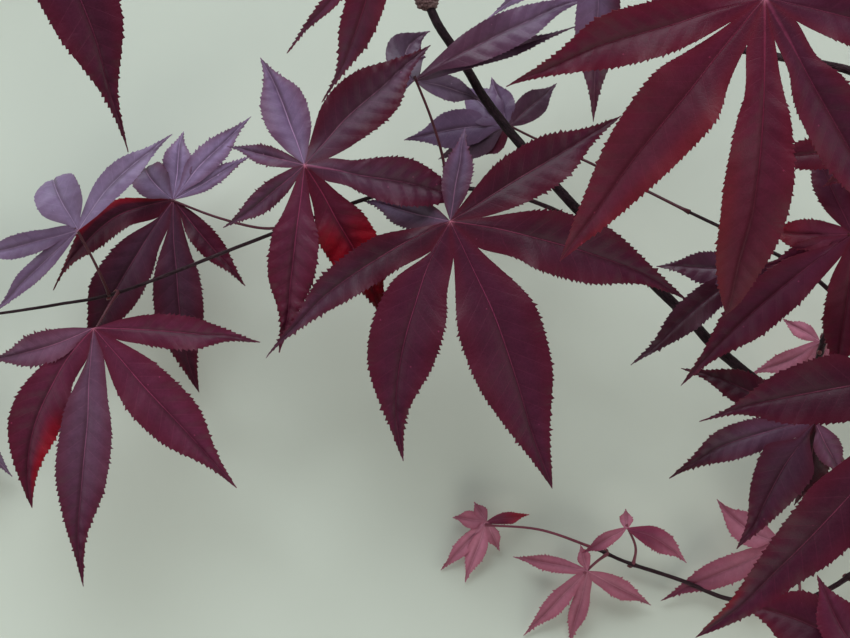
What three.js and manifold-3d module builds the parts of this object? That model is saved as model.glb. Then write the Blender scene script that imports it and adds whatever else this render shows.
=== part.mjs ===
// A cut branch of a red-leaved Japanese maple, lying on its leaf tips and its cut end.
// Millimetres, +Z up. The main stem runs from the cut end at lower right (+X, -Y) to an old knob at the back.
// Thin twigs leave it to both sides, and the leaves stand above them in layers.
import * as THREE from 'three';
import { mergeVertices } from 'three/addons/utils/BufferGeometryUtils.js';
import Module from 'manifold-3d';

const wasm = await Module();
wasm.setup();

// Driving dimensions
const bladeThickness = 0.8; // of every leaf
const webShare = 0.15; // how far out two lobes stay joined, as a share of the shorter one's reach
const stalkRadius = 0.6; // of a leaf stalk
const stalkInset = 1.2; // how far a stalk runs into its blade
const clearance = 0.35; // left free between a twig or stalk and the limb that carries it
const knobRadius = 3.2; // the old knob at the stem's back end
const cutPlaneX = 161; // the stem is cut square to X here

// Stations along a lobe between the web and the tip, as shares of its reach. A leaf with a lobe longer than
// fineReach takes the fine ones.
const fineReach = 59;
const fineStations = [0.32, 0.5, 0.68, 0.85];
const coarseStations = [0.36, 0.58, 0.8];

const barkLook = { color: 0x2c2320, roughness: 0.75, metalness: 0 };
const twigLook = { color: 0x3f3536, roughness: 0.65, metalness: 0 };
const leafLooks = {
  burgundy: { color: 0x4d1526, roughness: 0.55, metalness: 0 },
  crimson: { color: 0x74101c, roughness: 0.5, metalness: 0 },
  violet: { color: 0x6f5468, roughness: 0.5, metalness: 0 },
  pink: { color: 0x8a3d50, roughness: 0.6, metalness: 0 },
};

// Limbs: the radius at the start and at the end, and the way each one takes from the limb that carries it
const limbs = {
  main_stem: {
    look: barkLook, radii: [1.6, 1.25], sides: 8, steps: 20,
    way: [[168, -83, -0.3], [163, -79, 0.6], [135, -57, 12], [120, -44, 19], [103, -26.5, 26],
      [85, -12, 30], [79, -7, 31], [73, -0.5, 32], [49, 22.5, 34], [37, 35, 33.5], [22, 53, 32.5],
      [16, 61, 32.5], [10, 71, 33], [3.3, 81, 34], [0.7, 87, 34]],
  },
  left_twig: {
    look: twigLook, on: 'main_stem', radii: [0.7, 0.45], sides: 6, steps: 18,
    way: [[49, 22.5, 34], [41, 27, 35.5], [32, 31, 37], [25.5, 33, 39], [6.5, 35.5, 42], [-11, 33.7, 42],
      [-25.5, 29, 41], [-50, 19.7, 40], [-85, 6.8, 36], [-101, 4, 31], [-118, 1.6, 25], [-142, -1, 15]],
  },
  right_twig: {
    look: twigLook, on: 'main_stem', radii: [0.9, 0.5], sides: 6, steps: 12,
    way: [[97, -21.5, 27.5], [106, -14, 33], [108, -6, 39], [110, 6, 46], [117, 22, 53], [122, 41, 59],
      [129, 59, 65]],
  },
  right_side_twig: {
    look: twigLook, on: 'right_twig', radii: [0.6, 0.45], sides: 6, steps: 8,
    way: [[110, 6, 46], [102, 13, 44], [91.5, 19, 42], [72, 29, 37]],
  },
  upper_side_twig: {
    look: twigLook, on: 'right_twig', radii: [1.2, 0.95], sides: 6, steps: 7,
    way: [[126.5, 52, 62.5], [119, 59, 62.5], [109.6, 64.2, 63], [94.1, 67.1, 63.5], [82.5, 69.4, 63],
      [76.5, 71, 62]],
  },
  top_left_shoot: {
    look: twigLook, on: 'main_stem', radii: [0.9, 0.5], sides: 6, steps: 14,
    way: [[0.7, 87, 34], [-7, 98, 48], [-23, 112, 58], [-50, 125, 56], [-82, 139, 46.5], [-107, 146, 34]],
  },
  top_right_shoot: {
    look: twigLook, on: 'main_stem', radii: [0.9, 0.5], sides: 6, steps: 14,
    way: [[0.7, 87, 34], [12, 100, 44], [35, 110, 56], [65, 112, 70], [87, 103, 78], [112, 108, 64],
      [128, 112, 46]],
  },
  lower_shoot: {
    look: twigLook, on: 'main_stem', radii: [0.9, 0.5], sides: 6, steps: 14,
    way: [[135, -57, 12], [125, -71, 9], [108, -81, 7], [89, -81, 6], [73, -75, 6], [58, -70, 6.5],
      [49, -66, 7]],
  },
};

// Lobes go clockwise from above, starting beside the stalk: [heading in degrees, reach, greatest width,
// height of the tip above the seat, sideways bend, bulge upwards, and a last one: the higher it is, the further out
// the belly]. The headings fall from lobe to lobe.
// A fan is the usual set, spread evenly round the middle lobe.
const fanTurns = { 5: [88, 44, 0, -44, -88], 7: [126, 86, 43, 0, -43, -86, -126] };
const fanReaches = { 5: [0.55, 0.88, 1, 0.88, 0.55], 7: [0.4, 0.72, 0.93, 1, 0.93, 0.72, 0.4] };

function fan(heading, reach, drop, count = 7) {
  return fanTurns[count].map((turn, i) => {
    const length = reach * fanReaches[count][i];
    return [heading + turn, length, length * 0.27, -drop * fanReaches[count][i], 0, reach * 0.03];
  });
}

// Leaves: the limb that carries each one, the way of its stalk from there, and its seat, where lobes meet
const leaves = {
  leaf_centre: {
    look: 'burgundy', on: 'left_twig', stalk: [[7.6, 35.5, 42], [7, 31.5, 49]], seat: [6.6, 25.6, 56],
    lobes: [[81, 25.5, 7.6, -5, 0, 1.5], [32, 54, 13.5, -9, 0, 1], [-18, 66.5, 16.5, -8, 3.4, 2],
      [-69, 75.5, 21.6, -6, 1.8, 2, 0.85], [-101, 64.5, 18.5, -5, -5.7, 2], [-143.5, 60.5, 10.5, -5, -4, 1, 0.75],
      [-195, 24, 8.5, -17, 0, -3]],
  },
  leaf_upper_left: {
    look: 'burgundy', on: 'left_twig', stalk: [[-23.5, 28.8, 41], [-27.5, 35, 48]], seat: [-31.7, 40.5, 54],
    lobes: [[113, 32.5, 12.2, -12, -0.8, 1], [45, 47, 15.5, -12, 1.1, 1], [-12, 42.5, 12.5, -3, 0.8, 1, 1.4],
      [-63, 47, 14.3, -10, 1.4, 0], [-98, 50, 12.8, -5, 0.4, 1], [-144, 27.5, 6.2, -8, 0.6, 0],
      [-195, 22, 5, -8]],
  },
  leaf_left: {
    look: 'burgundy', on: 'left_twig', stalk: [[-34, 25.8, 40], [-43.5, 24.8, 33], [-57, 28, 26]],
    seat: [-70.4, 33.3, 22],
    lobes: [[-50, 31.5, 6.8, 0, -0.2, 1], [-83, 54.5, 13.8, -6, -2.2, 1, 1.1],
      [-120, 52, 14, -6, -1.8, 0, 1.1], [-144, 43, 8.6, -6, -5.9, 1], [-236, 11.5, 6, 0], [-272, 20.5, 7.2, -1],
      [-313, 32, 7.4, 0, 0.8, 1], [-331, 25.5, 4.4, 1, 0, 0]],
  },
  leaf_far_left: {
    look: 'violet', on: 'left_twig', stalk: [[-86, 6.6, 35.8], [-88.5, 15, 44.5]], seat: [-91.9, 23.5, 50],
    lobes: [[-138, 34, 5.2, -10, -0.5, 0], [-168, 33, 6.2, -8, 0.5, 0], [-242, 17.5, 11.6, -12, 0, 1],
      [-312, 35.5, 7.4, -9, 2.2, 0]],
  },
  leaf_lower_left: {
    look: 'burgundy', on: 'left_twig', stalk: [[-83.5, 7.3, 36.2], [-85, 3.6, 42]], seat: [-88.6, -2.4, 46],
    lobes: [[-5, 44.5, 9, -4, 0.8, 1], [-49, 57.5, 14.8, -7, 0, 2], [-93, 70, 14.2, -6, -0.9, 2],
      [-110, 52, 14, -8, -6.6, 0, 1.1], [-164, 32, 8.6, -6, 1.3, 0]],
  },
  leaf_upper_middle: {
    look: 'violet', on: 'left_twig', stalk: [[5, 35.6, 42], [5.2, 41, 42.5], [2, 53, 42.5]],
    seat: [-2.9, 64.2, 42],
    lobes: [[-172, 18, 7, -9], [-287, 14.6, 11, -4, 4.5, -2], [-335, 55, 10, -2, 1.6, 1],
      [-341, 46.5, 5, -4, 0.4, 0], [-372, 19.5, 6.8, -14, 0.8, 0]],
  },
  leaf_behind_stem: {
    look: 'violet', on: 'right_side_twig', stalk: [[72, 29, 37], [46, 43, 28], [30.5, 50.5, 23]],
    seat: [23.3, 53.8, 22],
    lobes: [[-136, 12, 6.6, -5], [-156, 21.5, 8.5, -6], [-173.5, 29.5, 10.5, -5, -1.2], [-221, 18.5, 10, -4],
      [-252, 15, 8, -3], [-318, 18.5, 7.6, -2]],
  },
  leaf_front: {
    look: 'crimson', on: 'top_right_shoot', stalk: [[87, 103, 78], [83, 89, 101]], seat: [79.2, 74.8, 112],
    lobes: [[36, 44, 11, -14, 0, 3], [-12, 60, 14, -12, 0, 3], [-60, 65, 15, -10, 0, 3, 1.2],
      [-94, 75, 16, -26, 1.6, 12, 1.25], [-127.5, 77, 18.2, -14, -1, 3, 0.8],
      [-162, 63, 13, -12, -1.4, 3], [-205, 40, 10, -14, 0, 3]],
  },
  leaf_top_middle: {
    look: 'violet', on: 'top_right_shoot', stalk: [[35.4, 109.7, 56.6], [40, 106, 64]],
    seat: [44.6, 99.1, 70],
    lobes: [[58, 11, 4, 0], [12, 30, 8, -10], [-38, 34, 9.5, -12], [-90, 47, 11.5, -20, 0, 2],
      [-144, 35, 6, -14], [-182, 26, 7, -10]],
  },
  leaf_right: {
    look: 'crimson', on: 'right_twig', stalk: [[117, 22, 53], [113.5, 22.5, 61]], seat: [109.9, 21.8, 66],
    lobes: [[-30, 44, 12, -16, 0, 3], [-93, 40, 11.5, -12, 0, 2], [-137, 58, 12.2, -15, -2.1, 2],
      [-161, 24.5, 6.4, -8, 1, 0], [-184, 23, 8, -8, 0.8, 0], [-247, 27, 9, -6, 0, 1], [-320, 28, 8, -10]],
  },
  leaf_right_upper: {
    look: 'crimson', on: 'right_twig', stalk: [[122, 41, 59], [119.5, 43.5, 69]], seat: [116.5, 42.5, 76],
    lobes: [[-35, 36, 10, -12, 0, 2], [-95, 22, 8, -4, 0, 1], [-150, 18, 6, -4], [-178, 34.5, 8, -8, 0, 1],
      [-230, 30, 9, -8], [-300, 32, 9, -10]],
  },
  leaf_right_back: {
    look: 'violet', on: 'right_side_twig', stalk: [[97.5, 15.8, 43.1], [94.5, 15.5, 45.3]],
    seat: [90.9, 15.2, 46],
    lobes: [[-50, 13, 6, -2], [-98, 20, 7, -4], [-142, 45, 8.2, -6, -1.4, 1], [-178, 28.8, 8.8, -3, 1.1, 0],
      [-225, 12, 5, -2]],
  },
  leaf_right_dark: {
    look: 'burgundy', on: 'right_twig', stalk: [[108, -6, 39], [117.5, -8, 66]], seat: [119.3, -14.7, 82],
    lobes: [[35, 36, 9, -14, 0, 2], [-5, 44, 12, -14, 0, 3], [-48, 42, 12, -10, 0, 3],
      [-167, 51, 17, -12, -1.5, 2, 0.65], [-200, 13, 5, -4]],
  },
  leaf_right_lower: {
    look: 'burgundy', on: 'main_stem', stalk: [[120, -44, 19], [112, -36, 38]], seat: [102.6, -27.1, 54],
    lobes: [[-62, 17, 7, -3], [-97, 23.5, 10, -14, 1.5, 0], [-119.5, 39.5, 14.6, -8, -0.8, 2, 0.6],
      [-157.3, 40.5, 9.2, -8, -3, 1], [-202, 37, 9, -8, -1.1, 1], [-255, 12, 5, -3]],
  },
  leaf_bottom_right: {
    look: 'burgundy', on: 'main_stem', stalk: [[127, -50.5, 15.5], [131, -40, 56]], seat: [113.5, -31.5, 90],
    lobes: [[-52, 44, 12, -12, 0, 3], [-92, 58, 15, -14, 0, 3], [-132.6, 66.7, 17.5, -18, 1.8, 3, 0.6],
      [-300, 28, 8, -6], [-335, 34, 9, -8]],
  },
  leaf_corner: {
    look: 'crimson', on: 'lower_shoot', stalk: [[122, -74.5, 8.3], [127, -84, 30]], seat: [118, -91, 46],
    lobes: [[-55, 26, 8, -10], [-98, 34, 10, -12, 0, 2], [-140, 42, 12, -12, 0, 2],
      [-201, 36.4, 16.5, -10, -3, 2], [-240, 26, 11, -3, 1.7, 1]],
  },
  leaf_top_left: {
    look: 'burgundy', on: 'top_left_shoot', stalk: [[-82, 139, 47], [-90, 125, 92]],
    seat: [-96.5, 107.8, 118],
    lobes: [[20, 40, 11, -14, 0, 3], [-30, 54, 13, -14, 0, 3], [-69, 73.4, 17.8, -14, 3.4, 3, 0.8],
      [-115, 62, 16, -14, 0, 3], [-155, 48, 12, -14, 0, 3], [-195, 30, 8, -12]],
  },
  leaf_top_hanging: {
    look: 'crimson', on: 'top_left_shoot', stalk: [[-23, 112, 58], [-15, 103.5, 80]], seat: [-8, 95.2, 92],
    lobes: [[35, 22, 6, -8], [-20, 26, 8, -10], [-62, 15, 5, -6], [-113.5, 44.8, 9.5, -14, 1.2, 2, 0.75],
      [-132, 39.4, 3.6, -10], [-172, 28, 8, -10, 0, 1]],
  },
  small_leaf_left: {
    look: 'pink', on: 'lower_shoot', stalk: [[49.5, -66.2, 7], [33, -60.5, 8]], seat: [17.7, -58.1, 8],
    lobes: [[8, 12.5, 3.4, -2], [-67, 10, 3.8, -5], [-108, 19.5, 5.2, -7], [-131, 20, 4.4, -7.5],
      [-184, 9.8, 5, -4], [-237, 6.5, 3.6, -2]],
  },
  small_leaf_middle: {
    look: 'pink', on: 'lower_shoot', stalk: [[52.5, -67.5, 6.8], [49, -69.5, 10]], seat: [46.3, -71.8, 12],
    lobes: [[-30, 22, 5.6, -8], [-100, 24, 5, -11.5], [-131, 27, 5.3, -11.5], [-189, 21.3, 4.5, -6],
      [-255, 7.7, 3.6, -1]],
  },
  small_leaf_upper: {
    look: 'pink', on: 'lower_shoot', stalk: [[60, -70.6, 6.3], [60, -65, 12]], seat: [56.9, -59.3, 17],
    lobes: [[-150, 14.3, 4, -3], [-270, 5.5, 3.6, -2], [-390, 20.2, 6.3, -4, 1.7, 0]],
  },
  small_leaf_right: {
    look: 'pink', on: 'lower_shoot', stalk: [[108, -81, 7], [106, -72, 12]], seat: [101.8, -63.9, 14],
    lobes: [[-112, 24, 7, -10], [-152, 38, 8, -12], [-214, 22.2, 8.6, -4, 2.2, 0]],
  },
  small_leaf_high: {
    look: 'pink', on: 'right_twig', stalk: [[107.6, -9, 37], [112.5, -6, 28]], seat: [111.1, -6.4, 20],
    lobes: [[13, 15, 5.2, -5], [-60, 20, 6, -7], [-110, 18, 6, -7], [-154, 21.5, 5.4, -6, 1, 0],
      [-213, 12, 4.6, -4]],
  },
  leaf_left_end: {
    look: 'burgundy', on: 'left_twig', stalk: [[-141.5, -1, 15.2], [-149, 1.5, 21]], seat: [-158, 6, 25],
    lobes: fan(130, 50, 24.5),
  },
  leaf_left_end_lower: {
    look: 'violet', on: 'left_twig', stalk: [[-139, -0.8, 16.5], [-137, -14, 18]], seat: [-132, -28, 16],
    lobes: fan(-140, 40, 15.5, 5),
  },
  leaf_top_left_end: {
    look: 'burgundy', on: 'top_left_shoot', stalk: [[-106.5, 146, 34.3], [-113, 147.5, 33]],
    seat: [-122, 148, 30],
    lobes: fan(172, 54, 29.5, 5),
  },
  leaf_top_right_end: {
    look: 'burgundy', on: 'top_right_shoot', stalk: [[127.5, 112, 46.5], [133, 113.5, 42]],
    seat: [140, 114, 36],
    lobes: fan(25, 46, 35.5, 5),
  },
  leaf_right_end: {
    look: 'crimson', on: 'right_twig', stalk: [[128.8, 58.8, 64.9], [133, 63, 64]], seat: [139, 66, 60],
    lobes: fan(15, 48, 28, 5),
  },
};

// A closed geometry's vertices are merged by place, so that it becomes a solid
function toSolid(geometry) {
  geometry.deleteAttribute('normal');
  geometry.deleteAttribute('uv');
  const merged = mergeVertices(geometry);
  return new wasm.Manifold(new wasm.Mesh({
    numProp: 3,
    vertProperties: new Float32Array(merged.attributes.position.array),
    triVerts: new Uint32Array(merged.index.array),
  }));
}

function toGeometry(solid) {
  const mesh = solid.getMesh();
  const geometry = new THREE.BufferGeometry();
  geometry.setAttribute('position', new THREE.Float32BufferAttribute(mesh.vertProperties, 3));
  geometry.setIndex(Array.from(mesh.triVerts));
  geometry.computeVertexNormals();
  return geometry;
}

// A round limb of even taper: a cylinder whose rings are moved onto a curve through the way's points
function limbSolid(way, radii, sides, steps, extra = 0) {
  const curve = new THREE.CatmullRomCurve3(way.map((point) => new THREE.Vector3(...point)));
  const frames = curve.computeFrenetFrames(steps);
  const geometry = new THREE.CylinderGeometry(1, 1, 1, sides, steps);
  const position = geometry.attributes.position;
  for (let i = 0; i < position.count; i++) {
    const share = position.getY(i) + 0.5;
    const ring = Math.round(share * steps);
    const radius = THREE.MathUtils.lerp(radii[0], radii[1], share) + extra;
    const overhang = ring === steps ? extra : 0;
    const point = curve.getPointAt(ring / steps)
      .addScaledVector(frames.tangents[ring], overhang)
      .addScaledVector(frames.normals[ring], position.getX(i) * radius)
      .addScaledVector(frames.binormals[ring], -position.getZ(i) * radius);
    position.setXYZ(i, point.x, point.y, point.z);
  }
  return toSolid(geometry);
}

// The knob that ends the main stem, a little longer than wide
function knobSolid(end, extra = 0) {
  const geometry = new THREE.IcosahedronGeometry(knobRadius + extra, 1);
  geometry.scale(1, 0.8, 0.85);
  geometry.translate(...end);
  return toSolid(geometry);
}

function stemSolid(extra = 0) {
  const { way, radii, sides, steps } = limbs.main_stem;
  return limbSolid(way, radii, sides, steps, extra).add(knobSolid(way.at(-1), extra));
}

// The same limb made thicker all round, to cut back what it carries
function grownLimb(name) {
  if (name === 'main_stem') return stemSolid(clearance);
  const { way, radii, sides, steps } = limbs[name];
  return limbSolid(way, radii, sides, steps, clearance);
}

function makeLimb(name) {
  const { on, way, radii, sides, steps } = limbs[name];
  if (on) return limbSolid(way, radii, sides, steps).subtract(grownLimb(on));
  const waste = new THREE.BoxGeometry(40, 40, 40);
  waste.translate(cutPlaneX + 20, way[0][1], 0);
  return stemSolid().subtract(toSolid(waste));
}

// The belly of a lobe: its half width at a share of the reach, as a share of the greatest half width
function belly(share, further) {
  return Math.sin(Math.PI * share ** further) ** 0.95;
}

// A point on a lobe at a share of its reach; side is -1 on its right edge, 0 on its midrib, 1 on its left
function lobePoint(seat, [heading, reach, width, rise, bend = 0, bulge = 0, further = 0.93], share, side) {
  const turn = THREE.MathUtils.degToRad(heading);
  const hump = 4 * share * (1 - share);
  const slant = turn + Math.atan2(4 * bend * (1 - 2 * share), reach);
  const half = side * width / 2 * belly(share, further);
  return new THREE.Vector3(
    seat[0] + Math.cos(turn) * reach * share - Math.sin(turn) * bend * hump - Math.sin(slant) * half,
    seat[1] + Math.sin(turn) * reach * share + Math.cos(turn) * bend * hump + Math.cos(slant) * half,
    seat[2] + rise * share + bulge * hump,
  );
}

// The corner where two neighbouring lobes part, halfway between their headings
function webPoint(seat, left, right) {
  const turn = THREE.MathUtils.degToRad((left[0] + right[0]) / 2);
  const out = webShare * Math.min(left[1], right[1]);
  const height = (lobePoint(seat, left, webShare, 0).z + lobePoint(seat, right, webShare, 0).z) / 2;
  return new THREE.Vector3(seat[0] + Math.cos(turn) * out, seat[1] + Math.sin(turn) * out, height);
}

// A sheet of triangles made a closed plate: the same sheet from below, and a rim along every open edge
function plateSolid(points, sheet) {
  const below = points.length;
  const faces = sheet.flatMap(([a, b, c]) => [[a, b, c], [a + below, c + below, b + below]]);
  const edges = sheet.flatMap(([a, b, c]) => [[a, b], [b, c], [c, a]]);
  const open = edges.filter(([a, b]) => !edges.some(([c, d]) => a === d && b === c));
  for (const [a, b] of open) faces.push([a, a + below, b + below], [a, b + below, b]);
  const places = [0, -bladeThickness].flatMap((drop) => points.flatMap(({ x, y, z }) => [x, y, z + drop]));
  const geometry = new THREE.BufferGeometry();
  geometry.setAttribute('position', new THREE.Float32BufferAttribute(places, 3));
  geometry.setIndex(faces.flat());
  return toSolid(geometry);
}

// One lobe: a triangle from the seat to its two web corners, a strip from station to station, and the tip
function lobeSolid(seat, lobe, left, right, stations) {
  const points = [new THREE.Vector3(...seat), left, right];
  const sheet = [[0, 2, 1]];
  for (const share of stations) {
    const near = points.length - 2;
    points.push(lobePoint(seat, lobe, share, 1), lobePoint(seat, lobe, share, -1));
    sheet.push([near, near + 1, near + 3], [near, near + 3, near + 2]);
  }
  const tip = points.push(lobePoint(seat, lobe, 1, 0)) - 1;
  sheet.push([tip - 2, tip - 1, tip]);
  return plateSolid(points, sheet);
}

// The blade: its lobes joined into one solid, each sharing a web corner with the next
function bladeSolid(seat, lobes) {
  const stations = Math.max(...lobes.map((lobe) => lobe[1])) > fineReach ? fineStations : coarseStations;
  const corners = lobes.slice(1).map((lobe, i) => webPoint(seat, lobes[i], lobe));
  corners.unshift(lobePoint(seat, lobes[0], webShare, 1));
  corners.push(lobePoint(seat, lobes.at(-1), webShare, -1));
  const parts = lobes.map((lobe, i) => lobeSolid(seat, lobe, corners[i], corners[i + 1], stations));
  return wasm.Manifold.union(parts);
}

function makeLeaf({ on, stalk, seat, lobes }) {
  const middle = THREE.MathUtils.degToRad((lobes[0][0] + lobes.at(-1)[0]) / 2);
  const root = [
    seat[0] + Math.cos(middle) * stalkInset,
    seat[1] + Math.sin(middle) * stalkInset,
    seat[2] - bladeThickness / 2,
  ];
  const stalkPart = limbSolid([...stalk, root], [stalkRadius, stalkRadius * 0.75], 4, 3);
  return bladeSolid(seat, lobes).add(stalkPart).subtract(grownLimb(on));
}

function makeMesh(name, solid, look) {
  const mesh = new THREE.Mesh(toGeometry(solid), new THREE.MeshStandardMaterial(look));
  mesh.name = name;
  return mesh;
}

const branch = new THREE.Group();
for (const [name, limb] of Object.entries(limbs)) branch.add(makeMesh(name, makeLimb(name), limb.look));
for (const [name, leaf] of Object.entries(leaves)) {
  branch.add(makeMesh(name, makeLeaf(leaf), leafLooks[leaf.look]));
}

// The origin is under the middle of the branch's box, on the surface that it lies on
const box = new THREE.Box3().setFromObject(branch);
const middle = box.getCenter(new THREE.Vector3());
branch.position.set(-middle.x, -middle.y, -box.min.z);
branch.updateMatrixWorld(true);

export default branch;
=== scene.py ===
import math
import random

import bmesh
import bpy
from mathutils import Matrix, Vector, noise
from mathutils.geometry import interpolate_bezier


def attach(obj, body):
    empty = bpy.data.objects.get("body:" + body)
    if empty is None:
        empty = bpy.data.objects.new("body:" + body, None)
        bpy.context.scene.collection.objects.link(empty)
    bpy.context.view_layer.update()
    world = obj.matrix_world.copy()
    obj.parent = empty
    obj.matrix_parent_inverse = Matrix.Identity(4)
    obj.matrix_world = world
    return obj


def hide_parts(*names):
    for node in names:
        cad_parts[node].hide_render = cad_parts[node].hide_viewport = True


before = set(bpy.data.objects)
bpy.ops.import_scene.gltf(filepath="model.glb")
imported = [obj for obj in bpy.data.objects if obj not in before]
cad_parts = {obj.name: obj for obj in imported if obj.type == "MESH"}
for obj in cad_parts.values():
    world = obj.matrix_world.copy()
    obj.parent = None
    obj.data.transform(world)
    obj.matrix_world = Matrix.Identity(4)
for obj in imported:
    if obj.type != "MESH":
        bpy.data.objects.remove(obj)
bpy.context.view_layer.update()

# Places below are in millimetres of the branch's own drawing; this brings them to the frame, in metres
toFrame = Vector((9.3945, -30.3886, 0.3))


def metres(point):
    return (Vector(point) + toFrame) / 1000


def towards(turn, out=1, up=0):
    return Vector((math.cos(turn) * out, math.sin(turn) * out, up))


def smoothstep(low, high, value):
    share = min(max((value - low) / (high - low), 0), 1)
    return share * share * (3 - 2 * share)


# Camera: straight above the branch, a long lens
view = dict(place=(0.0094, -0.0304, 0.5603), lens=81.45)
cameraData = bpy.data.cameras.new("camera")
cameraData.lens = view["lens"]
cameraData.sensor_fit = "HORIZONTAL"
camera = bpy.data.objects.new("camera", cameraData)
camera.location = view["place"]
bpy.context.scene.collection.objects.link(camera)
bpy.context.scene.camera = camera
bpy.context.scene.view_settings.view_transform = "Standard"
print("camera placed")


# Materials
def addNode(tree, kind, links=None, **settings):
    node = tree.nodes.new("ShaderNode" + kind)
    for name, value in settings.items():
        setattr(node, name, value)
    for name, value in (links or {}).items():
        if isinstance(value, bpy.types.NodeSocket):
            tree.links.new(value, node.inputs[name])
        else:
            node.inputs[name].default_value = value
    return node


def reckon(tree, operation, first, second=0.0, third=None):
    links = {0: first, 1: second}
    if third is not None:
        links[2] = third
    return addNode(tree, "Math", links, operation=operation).outputs[0]


# The Mix node's sockets 0, 6 and 7 are its factor and its two colours
def mixColour(tree, factor, first, second, blend="MIX"):
    links = {0: factor, 6: first, 7: second}
    return addNode(tree, "Mix", links, data_type="RGBA", blend_type=blend).outputs[2]


def ramp(tree, value, low, high, start=0.0, end=1.0):
    links = {0: value, 1: low, 2: high, 3: start, 4: end}
    return addNode(tree, "MapRange", links, interpolation_type="SMOOTHSTEP").outputs[0]


def readAttribute(tree, name, output="Vector"):
    return addNode(tree, "Attribute", attribute_name=name).outputs[output]


# The first input is a place, all other sockets are plain numbers
def newGroup(name, inputs, outputs):
    group = bpy.data.node_groups.new(name, "ShaderNodeTree")
    for label in inputs:
        kind = "NodeSocketVector" if label == inputs[0] else "NodeSocketFloat"
        group.interface.new_socket(label, in_out="INPUT", socket_type=kind)
    for label in outputs:
        group.interface.new_socket(label, in_out="OUTPUT", socket_type="NodeSocketFloat")
    return group, group.nodes.new("NodeGroupInput").outputs, group.nodes.new("NodeGroupOutput").inputs


# Ribs of a lobe. Place holds millimetres from the midrib, the number of the side rib, and the share of the way to the
# margin. A pair says where a mark begins to fade and where it is gone, or the other way round. The groove mark and
# output are painted shade: a dark band beside the midrib, where the groove of the folded blade lies in shadow
ribMarks = dict(midrib=(-0.12, 0.1), grooveShadeAside=0.25, groove=(0.1, 1.1), rib=(-0.03, 0.05), ribTip=(0.75, 1.0),
                margin=(0.35, 1.0), ribRelief=0.3)
leafRibs, ribsIn, ribsOut = newGroup("leafRibs", ("Place", "Midrib Width", "Rib Width"),
                                     ("Midrib", "Ribs", "GrooveShade", "Margin", "Relief"))
aside, ribNumber, outward = addNode(leafRibs, "SeparateXYZ", {0: ribsIn["Place"]}).outputs
beyond = reckon(leafRibs, "SUBTRACT", reckon(leafRibs, "ABSOLUTE", aside), ribsIn["Midrib Width"])
midrib = ramp(leafRibs, beyond, *ribMarks["midrib"], 1.0, 0.0)
# Painted shade: a dark band just beside the midrib, leaning to one side of it, where the fold's groove lies in shadow
fromGrooveShade = reckon(leafRibs, "ABSOLUTE", reckon(leafRibs, "ADD", aside, ribMarks["grooveShadeAside"]))
fromRib = reckon(leafRibs, "SUBTRACT", reckon(leafRibs, "PINGPONG", ribNumber, 0.5), ribsIn["Rib Width"])
ribs = reckon(leafRibs, "MULTIPLY", ramp(leafRibs, fromRib, *ribMarks["rib"], 1.0, 0.0),
              ramp(leafRibs, outward, *ribMarks["ribTip"], 1.0, 0.0))
leafRibs.links.new(midrib, ribsOut["Midrib"])
leafRibs.links.new(ribs, ribsOut["Ribs"])
leafRibs.links.new(ramp(leafRibs, fromGrooveShade, *ribMarks["groove"], 1.0, 0.0), ribsOut["GrooveShade"])
leafRibs.links.new(ramp(leafRibs, outward, *ribMarks["margin"]), ribsOut["Margin"])
sunkRibs = reckon(leafRibs, "MULTIPLY", ribs, ribMarks["ribRelief"])
leafRibs.links.new(reckon(leafRibs, "SUBTRACT", midrib, sunkRibs), ribsOut["Relief"])

# Mottling, coarse and fine, around 1, the little cells between the finest ribs, and scattered specks
grainMarks = dict(coarseDetail=3.0, fineDetail=2.0, fineShare=0.6, middle=0.8, cell=(0.0, 0.16), speck=(0.025, 0.05))
leafGrain, grainIn, grainOut = newGroup("leafGrain", ("Vector", "Coarse", "Fine", "Depth"),
                                        ("Shade", "Cells", "Specks"))
coarseScale = {"Vector": grainIn["Vector"], "Scale": grainIn["Coarse"]}
fineScale = {"Vector": grainIn["Vector"], "Scale": grainIn["Fine"]}
coarse = addNode(leafGrain, "TexNoise", {**coarseScale, "Detail": grainMarks["coarseDetail"]}).outputs[0]
fine = addNode(leafGrain, "TexNoise", {**fineScale, "Detail": grainMarks["fineDetail"]}).outputs[0]
mottle = reckon(leafGrain, "ADD", coarse, reckon(leafGrain, "MULTIPLY", fine, grainMarks["fineShare"]))
mottle = reckon(leafGrain, "SUBTRACT", mottle, grainMarks["middle"])
leafGrain.links.new(reckon(leafGrain, "MULTIPLY_ADD", mottle, grainIn["Depth"], 1.0), grainOut["Shade"])
cells = addNode(leafGrain, "TexVoronoi", fineScale, feature="DISTANCE_TO_EDGE").outputs["Distance"]
leafGrain.links.new(ramp(leafGrain, cells, *grainMarks["cell"]), grainOut["Cells"])
specks = addNode(leafGrain, "TexVoronoi", coarseScale).outputs["Distance"]
leafGrain.links.new(ramp(leafGrain, specks, *grainMarks["speck"], 1.0, 0.0), grainOut["Specks"])


def newMaterial(name, roughness, gloss):
    material = bpy.data.materials.new(name)
    material.use_nodes = True
    tree = material.node_tree
    shader = tree.nodes["Principled BSDF"]
    shader.inputs["Roughness"].default_value = roughness
    shader.inputs["Specular IOR Level"].default_value = gloss
    return material, tree, shader


# The grain's outputs, and its shade as a grey to multiply a colour by
def addGrain(tree, coarse, fine, depth):
    where = addNode(tree, "TexCoord").outputs["Object"]
    grain = addNode(tree, "Group", {"Vector": where, "Coarse": coarse, "Fine": fine, "Depth": depth},
                    node_tree=leafGrain).outputs
    return grain, addNode(tree, "CombineColor", {spot: grain["Shade"] for spot in range(3)}).outputs[0]


def addBump(tree, shader, height, distance):
    bump = addNode(tree, "Bump", {"Height": height, "Distance": distance})
    tree.links.new(bump.outputs[0], shader.inputs["Normal"])
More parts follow.
